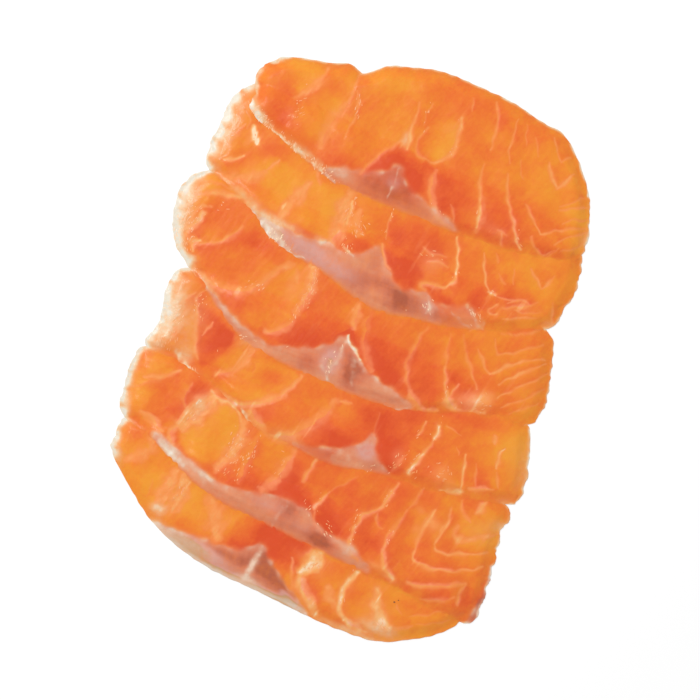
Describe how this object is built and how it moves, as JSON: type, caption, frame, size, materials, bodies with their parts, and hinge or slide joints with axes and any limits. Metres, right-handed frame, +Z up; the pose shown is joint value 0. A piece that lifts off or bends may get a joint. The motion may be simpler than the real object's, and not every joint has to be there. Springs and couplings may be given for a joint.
{
  "type": "smoked salmon slices",
  "caption": "Fan of thin, cold-smoked salmon slices laid overlapping like roof tiles, with a grey-brown band along each skin edge.",
  "frame": {"origin": "on the plate, under the middle of the fan's box", "axes": "+X along a slice from its belly end to its back end, +Y up the fan from the lowest slice to the uppermost, +Z up"},
  "size_m": [0.1662, 0.2122, 0.0055],
  "materials": {
    "salmon_flesh": "moist orange flesh with pale fat lines, oily and softly glossy"
  },
  "bodies": {
    "root": {"slice_1": "salmon_flesh", "slice_2": "salmon_flesh", "slice_3": "salmon_flesh", "slice_4": "salmon_flesh", "slice_5": "salmon_flesh", "slice_6": "salmon_flesh"}
  },
  "joints": []
}
